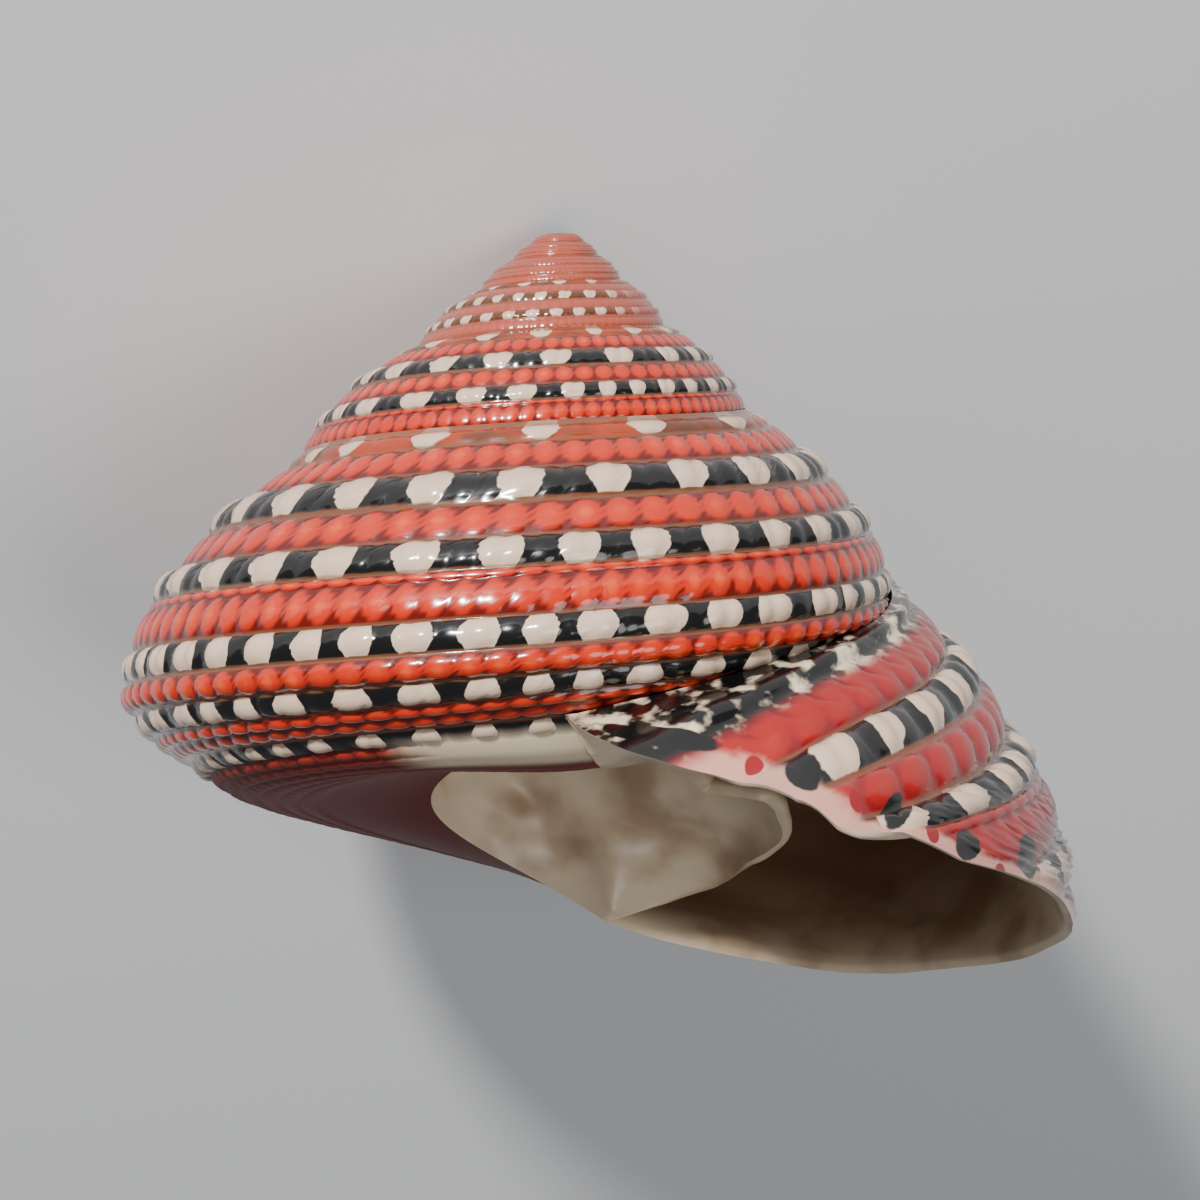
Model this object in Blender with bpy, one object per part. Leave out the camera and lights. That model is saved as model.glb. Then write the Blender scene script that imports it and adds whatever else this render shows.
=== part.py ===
"""Strawberry top shell, one solid shell with its open mouth, metres, +Z up."""
import math

import bmesh
import bpy
import numpy as np

for old in list(bpy.data.objects):
    bpy.data.objects.remove(old, do_unlink=True)

# Size and growth. The chart is drawn in small units, with the tip at zero and the axis up.
UNIT = 0.0000225
TURN = 2 * math.pi
DOWN_PER_TURN = 1.839
OUT_PER_TURN = 1.818
SLOWING = 0.0301
SLOWING_SPAN = 1.5
DEG = math.pi / 180

# How the shell lies: direction of the table in the chart, height of the flat spot, and the middle
REST_DOWN = (-0.12, 0.70, 0.71)
REST_LEVEL = 14.9
CENTRE_X = 46.1
CENTRE_Y = 360.9

# Outline of one whorl from its suture to the mouth of the navel: name, radius, drop below the tip
CHART = (
    ("suture", 193.4, 176.1),
    ("cord 0", 217.9, 185.5),
    ("cord 1", 238.7, 202.9),
    ("cord 2", 274.6, 225.7),
    ("cord 3", 296.7, 254.3),
    ("cord 4", 319.8, 277.0),
    ("cord 5", 337.1, 311.5),
    ("cord 6", 345.7, 338.7),
    ("cord 7", 348.0, 363.5),
    ("cord 8", 334.0, 381.0),
    ("cord 9", 317.0, 397.0),
    ("cord 10", 288.0, 412.0),
    ("cord 11", 258.0, 428.0),
    ("base 1", 200.0, 432.5),
    ("base 2", 140.0, 431.0),
    ("margin", 92.0, 426.0),
)
NAMES = [row[0] for row in CHART]
RADIUS = np.array([row[1] for row in CHART])
DROP = np.array([row[2] for row in CHART])
ALONG = np.concatenate([[0.0], np.cumsum(np.hypot(np.diff(RADIUS), np.diff(DROP)))])
PLACE = dict(zip(NAMES, ALONG))

# Extra width of the blunt tip
TIP_WIDTH = 12.0

# The last stretch: how far each row drops (positive) or rises near the lip, and how far it spreads
BEND_START = 6.25
BEND_SOFT = 0.3
BEND_ROWS = ("suture", "cord 1", "cord 2", "cord 3", "cord 4", "cord 5", "cord 6", "cord 8")
BEND_DROP = (0.135, 0.120, 0.105, 0.060, 0.000, -0.020, -0.020, 0.000)
BEND_OUT = (0.110, 0.100, 0.080, 0.050, 0.030, 0.010, 0.005, 0.000)

# The edge of the lip rolls down over the last few degrees near the suture
ROLL_START = 7.25
ROLL_SOFT = 0.10
ROLL_ROWS = ("suture", "cord 0", "cord 1", "cord 2", "cord 3")
ROLL_DROP = (0.0, 0.16, 0.26, 0.13, 0.0)

# Swelling of the upper rows on the right-hand side of the last turn
SHOULDER_ANGLE = 6.35
SHOULDER_SPREAD = 0.45
SHOULDER_ROWS = ("suture", "cord 0", "cord 1", "cord 2", "cord 4")
SHOULDER_OUT = (0.0, 20.0, 15.0, 7.0, 0.0)

# Callus pad on the base in front of the mouth
PAD_ANGLE = 1.25
PAD_SPREAD = 0.65
PAD_DROP = 34.0

# The lip: azimuth of each row past the right-hand side, in degrees
LIP_ANGLE = (86.0, 78.4, 68.0, 64.0, 60.0, 57.5, 44.6, 28.0, 15.0,
             6.0, -2.0, -10.0, -21.0, -33.0, -46.0, -58.0)
END_ANGLE = 20.0 * DEG
END = TURN + END_ANGLE
START = END - TURN
INNER_LAG = 40.0 * DEG

# The suture runs between cords 5 and 6 of the turn above, and sinks to just below cord 9 at the lip
SUTURE_SHARE = 0.45
SUTURE_LOWEST = 20.0
SUTURE_SOFT = 0.4
SUTURE_END = START + 64.0 * DEG

# Near the lip the cords lie a little higher on the whorl
CREEP = 14.0
CREEP_FROM = 5.2
CREEP_TO = 6.4

# Raised cords that wind round the whorl: middle along the outline, half width, height
CORDS = (
    (20.0, 11.0, 6.0),
    (50.5, 16.5, 8.5),
    (90.0, 20.5, 9.5),
    (129.5, 16.0, 8.5),
    (162.5, 15.5, 9.5),
    (202.5, 16.0, 8.5),
    (231.0, 12.0, 9.0),
    (257.5, 13.0, 8.5),
    (283.5, 11.0, 8.0),
    (311.0, 14.0, 7.0),
    (339.5, 9.0, 6.0),
    (365.0, 14.0, 4.5),
)
GROOVE = 8.0
GROOVE_FADE = 0.6
FULL_RELIEF_ANGLE = 5.0
MOST_RELIEF = 1.1

# Toward the edge of the lip the cords die out over this length at each row
FADE_ROWS = (0.0, 20.0, 50.0, 160.0, 260.0, 300.0, 440.0)
FADE_REACH = (70.0, 90.0, 70.0, 60.0, 40.0, 12.0, 12.0)
FADE_END = 0.25

# Place up the pillar and radius of its flared, toothed edge, and how far back the flare reaches
FLANGE_SHARE = (0.0, 0.10, 0.20, 0.30, 0.36, 0.41, 0.48, 0.57, 0.645, 0.69, 0.705, 0.715, 0.80,
                0.865, 0.91, 1.0)
FLANGE_RADIUS = (129.0, 190.0, 215.0, 217.0, 221.0, 230.0, 236.0, 240.0, 242.0, 236.0, 222.0, 178.0, 172.0,
                 165.0, 144.0, 96.0)
FLARE_SPREAD = 32.0
PIT_SHARES = (0.1, 0.2, 0.3, 0.41, 0.5, 0.57, 0.645, 0.70, 0.72, 0.80, 0.88, 1.0)
PIT_TOP = 330.0

# Thickness of the wall and of the pillar's edge at angles back from the lip, in degrees
CAVITY_BACK = (0.8, 3.0, 8.0, 16.0, 28.0, 44.0, 60.0, 76.0, 92.0, 108.0, 124.0, 142.0, 160.0)
WALL_BACK = (0.8, 3.0, 8.0, 16.0, 28.0)
WALL_THICK = (11.0, 16.0, 19.0, 22.0, 24.0)
EDGE_BACK = (0.0, 0.8, 3.0)
EDGE_THICK = (0.0, 8.0, 11.0)
PILLAR_FROM = 2.0
PILLAR_TO = 16.0
CORNER_BACK = (0.8, 8.0, 44.0)
CORNER_CLEAR = (5.0, 14.0, 44.0)
CORNER_SINK = (0.0, 0.0, 20.0)
CORNER_SHARE = 0.35
NEARBY = 0.02
CALLUS_THICK = 5.0
INNER_STEPS = 9

# Mesh steps
STEPS = 48
TURNS_ABOVE = 5
FINE_TURNS_ABOVE = 3
ROW_GAP = 4.0


def smooth_step(value, low, high):
    t = np.clip((value - low) / (high - low), 0.0, 1.0)
    return t * t * (3 - 2 * t)


def softened(theta, start, soft):
    """Zero before an angle, then rising one for one, with a soft corner."""
    return soft * np.logaddexp(0.0, (theta - start) / soft)


def by_row(place, names, values):
    """Value between named rows of the chart."""
    return np.interp(place, [PLACE[name] for name in names], values)


def growth(theta):
    """Scale outward and scale down of the growing whorl at an angle."""
    late = softened(theta, 0.0, SLOWING_SPAN)
    out = np.exp(math.log(OUT_PER_TURN) / TURN * theta - SLOWING * late)
    down = np.exp(math.log(DOWN_PER_TURN) / TURN * theta)
    return out, down


def chart_value(place, column):
    """Smooth value of one chart column at places along the outline."""
    slope = np.diff(column) / np.diff(ALONG)
    knot = np.concatenate([slope[:1], (slope[:-1] + slope[1:]) / 2, slope[-1:]])
    cell = np.clip(np.searchsorted(ALONG, place, side="right") - 1, 0, len(ALONG) - 2)
    span = ALONG[cell + 1] - ALONG[cell]
    t = (place - ALONG[cell]) / span
    first = (2 * t**3 - 3 * t**2 + 1) * column[cell] + (t**3 - 2 * t**2 + t) * span * knot[cell]
    last = (3 * t**2 - 2 * t**3) * column[cell + 1] + (t**3 - t**2) * span * knot[cell + 1]
    return first + last


def bare_wall(theta, place):
    """Radius and height of the outer wall without its cords and without its step at the suture."""
    out, down = growth(theta)
    radius = chart_value(place, RADIUS) * out
    height = -chart_value(place, DROP) * down
    radius = radius + TIP_WIDTH * np.exp(height / 50.0) * (1 - np.exp(height / 10.0))
    bend = softened(theta, BEND_START, BEND_SOFT)
    radius = radius * np.exp(by_row(place, BEND_ROWS, BEND_OUT) * bend)
    height = height * np.exp(by_row(place, BEND_ROWS, BEND_DROP) * bend)
    height = height * np.exp(by_row(place, ROLL_ROWS, ROLL_DROP) * softened(theta, ROLL_START, ROLL_SOFT))
    shoulder = by_row(place, SHOULDER_ROWS, SHOULDER_OUT)
    radius = radius + shoulder * np.exp(-((theta - SHOULDER_ANGLE) / SHOULDER_SPREAD) ** 2)
    pad = np.exp(-((theta - PAD_ANGLE) / PAD_SPREAD) ** 2)
    height = height - PAD_DROP * pad * smooth_step(place, PLACE["cord 9"], PLACE["base 1"])
    return radius, height


def suture_place(theta):
    """Place on the turn above where the next turn is joined to it."""
    usual = PLACE["cord 5"] + SUTURE_SHARE * (PLACE["cord 6"] - PLACE["cord 5"])
    lowest = PLACE["cord 9"] + SUTURE_LOWEST
    whole = softened(SUTURE_END, BEND_START - TURN, SUTURE_SOFT)
    share = softened(theta, BEND_START - TURN, SUTURE_SOFT) / whole
    return usual + (lowest - usual) * np.minimum(share, 1.0)


def row_shift(theta, row):
    """How far the cords creep up the whorl near the lip."""
    late = smooth_step(theta, CREEP_FROM, CREEP_TO)
    upper = smooth_step(row, PLACE["cord 1"], PLACE["cord 2"])
    lower = smooth_step(row, PLACE["cord 6"], PLACE["cord 9"])
    return -CREEP * late * upper * (1 - lower)


def relief(row, fade):
    """Height of the cords over the bare wall, with the grooves cut below it."""
    height = np.zeros_like(row)
    for middle, half, high in CORDS:
        x = (row - middle) / half
        height = np.maximum(height, high * np.sqrt(np.maximum(0.0, 1 - x**2)))
    depth = GROOVE * (1 - smooth_step(row, PLACE["cord 10"], PLACE["base 1"]))
    return height * (1 - fade) - depth * (1 - GROOVE_FADE * fade)


def lip_lag(row):
    """How far the lip at a row is past the end of the last turn."""
    return by_row(row, NAMES, LIP_ANGLE) * DEG - END_ANGLE


def lip_fade(theta, row):
    """One at the edge of the lip and zero where the cords have their full height."""
    distance = (END + lip_lag(row) - theta) * bare_wall(theta, row)[0]
    reach = np.interp(row, FADE_ROWS, FADE_REACH)
    return 1 - smooth_step(distance, FADE_END * reach, reach)


def wall(theta, row, fade=None):
    """Radius, height and outward direction of the finished outer wall."""
    place = row + row_shift(theta, row)
    radius, height = bare_wall(theta, place)
    before_r, before_h = bare_wall(theta - TURN, suture_place(theta - TURN))
    first_r, first_h = bare_wall(theta, np.zeros_like(place))
    near = np.clip(1 - place / PLACE["cord 0"], 0.0, 1.0)
    radius = radius + (before_r - first_r) * near
    height = height + (before_h - first_h) * near
    right_r, right_h = bare_wall(theta, np.minimum(place + 1.0, ALONG[-1]))
    left_r, left_h = bare_wall(theta, np.maximum(place - 1.0, 0.0))
    length = np.hypot(right_r - left_r, right_h - left_h)
    across_r, across_h = -(right_h - left_h) / length, (right_r - left_r) / length
    scale = np.minimum(growth(theta)[1] / growth(FULL_RELIEF_ANGLE)[1], MOST_RELIEF)
    if fade is None:
        fade = lip_fade(theta, row)
    lift = relief(row, fade) * scale * (1 - near)
    return radius + across_r * lift, height + across_h * lift, across_r, across_h


def start_lag(row):
    """The same for the first exposed column of the last turn."""
    return np.interp(row, [0.0, JOINED_AT_START, ALONG[-1]], [0.0, lip_lag(0.0), INNER_LAG])


JOINED_AT_START = float(suture_place(START + lip_lag(0.0)))


def azimuth(t, row, joined):
    """Angle of a mesh column at a row, so that the last column follows the lip."""
    if t < START - TURN:
        return np.full_like(row, t)
    if t < START:
        share = (t - START + TURN) / TURN
        return t + share * lip_lag(0.0) * row / joined
    share = (t - START) / TURN
    return t + (1 - share) * start_lag(row) + share * lip_lag(row)


def point(theta, radius, height):
    return np.stack([radius * np.cos(theta), -radius * np.sin(theta), height], axis=-1)


def full_rows():
    """Rows of a full column: suture, cords, the grooves between them and the base."""
    middles = [cord[0] for cord in CORDS]
    grooves = []
    for (one, wide_one, high_one), (two, wide_two, high_two) in zip(CORDS[:-1], CORDS[1:]):
        grooves.append((one + wide_one + two - wide_two) / 2)
    base = [PLACE["base 1"], PLACE["base 2"], PLACE["margin"]]
    return np.array([0.0] + sorted(middles + grooves) + base)


def plain_rows():
    """Rows of a column near the tip, where the cords are too fine to be cut."""
    return np.array([0.0] + [PLACE[name] for name in ("cord 1", "cord 3", "cord 5")])


def pit_azimuth(t, share):
    """Angle at a place up the pillar, from the navel's margin to the margin one turn earlier."""
    part = (t - START) / TURN
    edge = lip_lag(ALONG[-1]) * (1 - share) + INNER_LAG * share
    return t + (1 - part) * INNER_LAG + part * edge


def pit_wall(t, share):
    """Radius and height of the navel's wall, which flares out into the pillar's toothed edge."""
    theta = pit_azimuth(t, share)
    now_r, now_h = bare_wall(theta, ALONG[-1])
    old_r, old_h = bare_wall(theta - TURN, ALONG[-1])
    radius = now_r + (old_r - now_r) * share
    flange = float(np.interp(share, FLANGE_SHARE, FLANGE_RADIUS))
    back = max(END - t, 0.0) / DEG
    flare = math.exp(-(back / FLARE_SPREAD) ** 2)
    return radius + max(flange - radius, 0.0) * flare, now_h + (old_h - now_h) * share


class Skin:
    """Points and triangles of the shell while it is being made."""

    def __init__(self):
        self.points = []
        self.faces = []

    def add(self, place):
        self.points.append(tuple(float(v) for v in place))
        return len(self.points) - 1

    def sew(self, one, two):
        """Join two lists of (share, point number) with triangles."""
        i = j = 0
        while i < len(one) - 1 or j < len(two) - 1:
            next_one = one[i + 1][0] if i < len(one) - 1 else math.inf
            next_two = two[j + 1][0] if j < len(two) - 1 else math.inf
            if next_one <= next_two:
                self.face(one[i][1], one[i + 1][1], two[j][1])
                i += 1
            else:
                self.face(one[i][1], two[j + 1][1], two[j][1])
                j += 1

    def face(self, a, b, c):
        if len({a, b, c}) == 3:
            self.faces.append((a, b, c))


def wall_points(skin, t, rows, joined):
    """Points of one mesh column at given rows."""
    if len(rows) == 0:
        return []
    theta = azimuth(t, rows, joined)
    radius, height = wall(theta, rows)[:2]
    return [(float(row), skin.add(spot)) for row, spot in zip(rows, point(theta, radius, height))]


def suture_angle(t):
    """Azimuth, on the turn above, of the join below a column."""
    share = max(0.0, (t - START + TURN) / TURN)
    return t + share * lip_lag(0.0)


def pit_points(skin, t, lip_margin):
    """Points up the navel's wall; the last one at the lip is the margin one turn earlier."""
    found = []
    for share in PIT_SHARES:
        if lip_margin is not None and share == 1.0:
            number = lip_margin
        else:
            number = skin.add(point(pit_azimuth(t, share), *pit_wall(t, share)))
        found.append((ALONG[-1] * (1 + share), number))
    return found


def make_sutures(skin):
    """Shared points of the suture, one for each mesh column."""
    sutures = {}
    for i in range(-STEPS * TURNS_ABOVE, STEPS + 1):
        row = np.zeros(1)
        theta = azimuth(START + TURN * i / STEPS, row, JOINED_AT_START)
        radius, height = wall(theta, row)[:2]
        sutures[i] = skin.add(point(theta[0], radius[0], height[0]))
    return sutures


def make_columns(skin, sutures):
    """Mesh columns from the tip to the lip, each a list of (place, point number)."""
    columns = {}
    lip_margin = None
    for i in range(-STEPS * TURNS_ABOVE, STEPS + 1):
        t = START + TURN * i / STEPS
        rows = full_rows() if i >= -STEPS * FINE_TURNS_ABOVE else plain_rows()
        rows = rows[rows > 0]
        column = [(0.0, sutures[i])]
        if i > 0:
            column += wall_points(skin, t, rows, ALONG[-1])
        else:
            joined = float(suture_place(suture_angle(t)))
            column += wall_points(skin, t, rows[rows < joined - ROW_GAP], joined)
            column.append((joined, sutures[i + STEPS]))
        if i == 0:
            column += wall_points(skin, t, rows[rows > joined + ROW_GAP], joined)
            lip_margin = column[-1][1]
        if i >= 0:
            column += pit_points(skin, t, lip_margin if i == STEPS else None)
        columns[i] = column
    return columns


def make_outside(skin):
    """Outer wall, from the tip to the lip, and the navel; returns the columns."""
    sutures = make_sutures(skin)
    columns = make_columns(skin, sutures)
    first = -STEPS * TURNS_ABOVE
    for i in range(first, STEPS):
        one, two = columns[i], columns[i + 1]
        if i + 1 == 0:
            two = [entry for entry in two if entry[0] <= JOINED_AT_START]
        skin.sew(one, two)
    close_tip(skin, columns[first], [sutures[i] for i in range(first, first + STEPS + 1)])
    close_navel(skin, columns)
    return columns


def close_tip(skin, column, ring):
    """Small dome over the first turn."""
    ring = ring + [number for place, number in reversed(column[1:-1])]
    skin_fan(skin, ring, skin.add((0.0, 0.0, 0.0)), outward=True)


def close_navel(skin, columns):
    """Top of the navel."""
    ring = [columns[i][-1][1] for i in range(0, STEPS + 1)]
    ring += [number for place, number in columns[0][-len(PIT_SHARES):-1]]
    skin_fan(skin, ring, skin.add((0.0, 0.0, -PIT_TOP)), outward=False)


def skin_fan(skin, ring, middle, outward):
    """Triangles from a closed ring of points to one point."""
    for a, b in zip(ring, ring[1:] + ring[:1]):
        if outward:
            skin.face(a, middle, b)
        else:
            skin.face(a, b, middle)


def cavity_outer(back):
    """Inner face of the outer wall, at an angle back from the lip in degrees."""
    rows = np.array([cord[0] for cord in CORDS[1:]] + [PLACE["base 1"], PLACE["base 2"]])
    theta = azimuth(END - back * DEG, rows, ALONG[-1])
    radius, height, across_r, across_h = wall(theta, rows)
    thick = np.interp(back, WALL_BACK, WALL_THICK)
    return rows, theta, radius - across_r * thick, height - across_h * thick


def cavity_inner(back):
    """Callus over the turn before, at an angle back from the lip in degrees."""
    shares = np.linspace(0.0, 1.0, INNER_STEPS)
    t = START - back * DEG
    theta = t + (suture_angle(t) - t) * (1 - shares) + INNER_LAG * shares
    first = suture_place(theta[0]) + np.interp(back, CORNER_BACK, CORNER_CLEAR)
    row = first + (PLACE["base 2"] - first) * shares
    radius, height, across_r, across_h = wall(theta, row, fade=1.0)
    sink = np.interp(back, CORNER_BACK, CORNER_SINK) * np.maximum(1 - shares / CORNER_SHARE, 0.0)
    thick = CALLUS_THICK - sink
    return shares, theta, radius + across_r * thick, height + across_h * thick


def pit_spot(t, share):
    return point(pit_azimuth(t, share), *pit_wall(t, share))


def pit_normal(t, share):
    """Direction from the navel's wall into the pillar."""
    along = pit_spot(t + NEARBY, share) - pit_spot(t - NEARBY, share)
    upward = pit_spot(t, share + NEARBY) - pit_spot(t, share - NEARBY)
    normal = np.cross(upward, along)
    return normal / np.linalg.norm(normal)


def cavity_ring(skin, back):
    """One ring of the inside, as a list of (share, point number)."""
    rows, theta, radius, height = cavity_outer(back)
    shares, inner_theta, inner_r, inner_h = cavity_inner(back)
    ring = [(row / ALONG[-1], skin.add(spot)) for row, spot in zip(rows, point(theta, radius, height))]
    blend = float(smooth_step(back, PILLAR_FROM, PILLAR_TO))
    edge = float(np.interp(back, EDGE_BACK, EDGE_THICK))
    t = END - back * DEG
    for share in PIT_SHARES[:-1]:
        far_r = radius[-1] + (inner_r[-1] - radius[-1]) * share
        far_h = height[-1] + (inner_h[-1] - height[-1]) * share
        far = point(pit_azimuth(t, share), far_r, far_h)
        near = pit_spot(t, share)
        normal = pit_normal(t, share)
        thick = max(edge, float((far - near) @ normal) * blend)
        ring.append((1 + share, skin.add(near + normal * thick)))
    inner = list(zip(shares, point(inner_theta, inner_r, inner_h)))
    for share, spot in reversed(inner):
        ring.append((3 - share, skin.add(spot)))
    return ring


def lip_ring(columns):
    """Edge of the mouth: along the lip, up the pillar and back along the turn before."""
    ring = [(place / ALONG[-1], number) for place, number in columns[STEPS]]
    free = ALONG[-1] - JOINED_AT_START
    for place, number in reversed(columns[0]):
        if JOINED_AT_START < place < ALONG[-1]:
            ring.append((3 - (place - JOINED_AT_START) / free, number))
    return ring


def closed(ring):
    return ring + [(3.0 + ring[0][0], ring[0][1])]


def make_inside(skin, columns):
    """Edge of the lip, open mouth and the end of the cavity."""
    ring = lip_ring(columns)
    for back in CAVITY_BACK:
        inner = cavity_ring(skin, back)
        skin.sew(closed(inner), closed(ring))
        ring = inner
    numbers = [number for place, number in ring]
    middle = np.mean([skin.points[number] for number in numbers], axis=0)
    skin_fan(skin, numbers, skin.add(middle), outward=False)


def make_shell():
    skin = Skin()
    make_inside(skin, make_outside(skin))
    return skin


def lay_down(points):
    """Cut the small flat spot on the back and turn the shell so that it rests on it."""
    down = np.array(REST_DOWN) / np.linalg.norm(REST_DOWN)
    reach = points @ down
    points = points - np.outer(np.maximum(reach - REST_LEVEL, 0.0), down)
    up = -down
    away = np.array([0.0, 1.0, 0.0]) - up[1] * up
    away = away / np.linalg.norm(away)
    side = np.cross(away, up)
    turned = points @ np.stack([side, away, up], axis=1)
    return turned - np.array([CENTRE_X, CENTRE_Y, -REST_LEVEL])


def shell_material():
    """Glossy coral red, the main colour of the shell."""
    material = bpy.data.materials.new("shell")
    material.use_nodes = True
    surface = material.node_tree.nodes["Principled BSDF"]
    surface.inputs["Base Color"].default_value = (0.55, 0.11, 0.07, 1.0)
    surface.inputs["Roughness"].default_value = 0.3
    return material


def make_object(name, skin):
    """Closed mesh object in metres, with its faces turned outward."""
    spots = lay_down(np.array(skin.points)) * UNIT
    mesh = bpy.data.meshes.new(name)
    mesh.from_pydata(spots.tolist(), [], skin.faces)
    work = bmesh.new()
    work.from_mesh(mesh)
    bmesh.ops.recalc_face_normals(work, faces=work.faces[:])
    if work.calc_volume(signed=True) < 0:
        bmesh.ops.reverse_faces(work, faces=work.faces[:])
    work.to_mesh(mesh)
    work.free()
    item = bpy.data.objects.new(name, mesh)
    item.data.materials.append(shell_material())
    bpy.context.scene.collection.objects.link(item)
    return item


shell = make_object("shell", make_shell())
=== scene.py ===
"""Looks of the strawberry top shell, laid over its solid in the same frame."""
import math

import bpy
import numpy as np
from mathutils import Matrix, Vector


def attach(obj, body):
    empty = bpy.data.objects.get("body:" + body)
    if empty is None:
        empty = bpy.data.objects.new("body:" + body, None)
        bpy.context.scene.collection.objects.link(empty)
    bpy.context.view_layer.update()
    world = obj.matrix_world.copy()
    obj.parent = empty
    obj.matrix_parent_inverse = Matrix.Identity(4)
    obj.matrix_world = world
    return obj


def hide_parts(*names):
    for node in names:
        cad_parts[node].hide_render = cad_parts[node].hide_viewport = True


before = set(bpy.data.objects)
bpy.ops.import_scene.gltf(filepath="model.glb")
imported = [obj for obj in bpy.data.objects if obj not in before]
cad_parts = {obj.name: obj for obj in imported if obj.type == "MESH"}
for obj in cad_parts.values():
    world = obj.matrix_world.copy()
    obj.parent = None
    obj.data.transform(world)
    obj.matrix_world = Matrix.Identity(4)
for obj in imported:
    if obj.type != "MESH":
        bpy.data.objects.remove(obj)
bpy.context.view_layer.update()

# Size and growth, as in the solid: metres in a unit of the chart, and growth in each turn
UNIT = 0.0000225
TURN = 2 * math.pi
DEG = math.pi / 180
DOWN_PER_TURN = 1.839
OUT_PER_TURN = 1.818
SLOWING = 0.0301
SLOWING_SPAN = 1.5
REST_DOWN = (-0.12, 0.70, 0.71)
REST_LEVEL = 14.9
CENTRE_X = 46.1
CENTRE_Y = 360.9

# Outline of the last whorl from the suture to the navel: radius and depth under the tip
CHART = (
    ("suture", 193.4, 176.1),
    ("cord 0", 217.9, 185.5),
    ("cord 1", 238.7, 202.9),
    ("cord 2", 274.6, 225.7),
    ("cord 3", 296.7, 254.3),
    ("cord 4", 319.8, 277.0),
    ("cord 5", 337.1, 311.5),
    ("cord 6", 345.7, 338.7),
    ("cord 7", 348.0, 363.5),
    ("cord 8", 334.0, 381.0),
    ("cord 9", 317.0, 397.0),
    ("cord 10", 288.0, 412.0),
    ("cord 11", 258.0, 428.0),
    ("base 1", 200.0, 432.5),
    ("base 2", 140.0, 431.0),
    ("margin", 92.0, 426.0),
)
NAMES = [row[0] for row in CHART]
RADIUS = np.array([row[1] for row in CHART])
DROP = np.array([row[2] for row in CHART])
ALONG = np.concatenate([[0.0], np.cumsum(np.hypot(np.diff(RADIUS), np.diff(DROP)))])
PLACE = dict(zip(NAMES, ALONG))

# Where the shape leaves the plain spiral: angles in radians, shares and lengths by row
TIP_WIDTH = 12.0
TIP_FADE = 50.0
TIP_ROUND = 10.0
BEND_START = 6.25
BEND_SOFT = 0.3
BEND_ROWS = ("suture", "cord 1", "cord 2", "cord 3", "cord 4", "cord 5", "cord 6", "cord 8")
BEND_DROP = (0.135, 0.120, 0.105, 0.060, 0.000, -0.020, -0.020, 0.000)
BEND_OUT = (0.110, 0.100, 0.080, 0.050, 0.030, 0.010, 0.005, 0.000)
ROLL_START = 7.25
ROLL_SOFT = 0.10
ROLL_ROWS = ("suture", "cord 0", "cord 1", "cord 2", "cord 3")
ROLL_DROP = (0.0, 0.16, 0.26, 0.13, 0.0)
SHOULDER_ANGLE = 6.35
SHOULDER_SPREAD = 0.45
SHOULDER_ROWS = ("suture", "cord 0", "cord 1", "cord 2", "cord 4")
SHOULDER_OUT = (0.0, 20.0, 15.0, 7.0, 0.0)
LIP_ANGLE = (86.0, 78.4, 68.0, 64.0, 60.0, 57.5, 44.6, 28.0, 15.0,
             6.0, -2.0, -10.0, -21.0, -33.0, -46.0, -58.0)
CREEP = 14.0
CREEP_FROM = 5.2
CREEP_TO = 6.4
START = 20.0 * DEG
END = START + TURN
INNER_LAG = 40.0 * DEG
PAD_ANGLE = 1.25
PAD_SPREAD = 0.65
PAD_DROP = 34.0

# Cords: middle along the outline, half width, height, bead length in degrees, share of bead relief
CORDS = (
    (20.0, 11.0, 6.0, 9.0, 0.50),
    (50.5, 16.5, 8.5, 5.8, 0.50),
    (90.0, 20.5, 9.5, 5.05, 0.55),
    (129.5, 16.0, 8.5, 5.85, 0.50),
    (162.5, 15.5, 9.5, 4.0, 0.55),
    (183.5, 4.0, 4.5, 4.0, 0.30),
    (202.5, 16.0, 8.5, 4.1, 0.50),
    (231.0, 12.0, 9.0, 4.1, 0.55),
    (257.5, 13.0, 8.5, 4.1, 0.50),
    (283.5, 11.0, 8.0, 4.35, 0.55),
    (303.0, 7.0, 7.0, 4.3, 0.50),
    (319.0, 8.0, 6.0, 4.3, 0.50),
    (339.5, 9.0, 6.0, 4.35, 0.50),
    (356.0, 6.5, 4.5, 4.3, 0.40),
    (371.0, 7.5, 4.0, 4.6, 0.40),
    (387.0, 7.5, 3.5, 4.6, 0.35),
    (403.0, 7.5, 3.0, 5.0, 0.30),
    (419.0, 7.5, 2.5, 5.0, 0.25),
    (435.0, 7.5, 2.0, 5.0, 0.20),
)
GROOVE = 8.0
CLEFT = 0.96
RELIEF_ANGLE = 5.0
RELIEF_MOST = 1.1
FADE_ROWS = (0.0, 20.0, 50.0, 160.0, 260.0, 300.0, 440.0)
FADE_REACH = (70.0, 90.0, 70.0, 60.0, 40.0, 12.0, 12.0)

# Where a turn is joined to the one above: usual share of the way from cord 5 to 6, and its lowest place
USUAL_SHARE = 0.45
LOWEST_EXTRA = 20.0
LOWEST_AFTER = 64.0 * DEG
JOIN_SOFT = 0.4
JOIN_LAP = 4.0


def softened(theta, start, soft):
    """Zero before an angle, then rising one for one, with a soft corner."""
    return soft * np.logaddexp(0.0, (theta - start) / soft)


def smooth_step(value, low, high):
    t = np.clip((value - low) / (high - low), 0.0, 1.0)
    return t * t * (3 - 2 * t)


def growth(theta):
    late = SLOWING_SPAN * np.logaddexp(0.0, theta / SLOWING_SPAN)
    out = np.exp(math.log(OUT_PER_TURN) / TURN * theta - SLOWING * late)
    down = np.exp(math.log(DOWN_PER_TURN) / TURN * theta)
    return out, down


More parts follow.
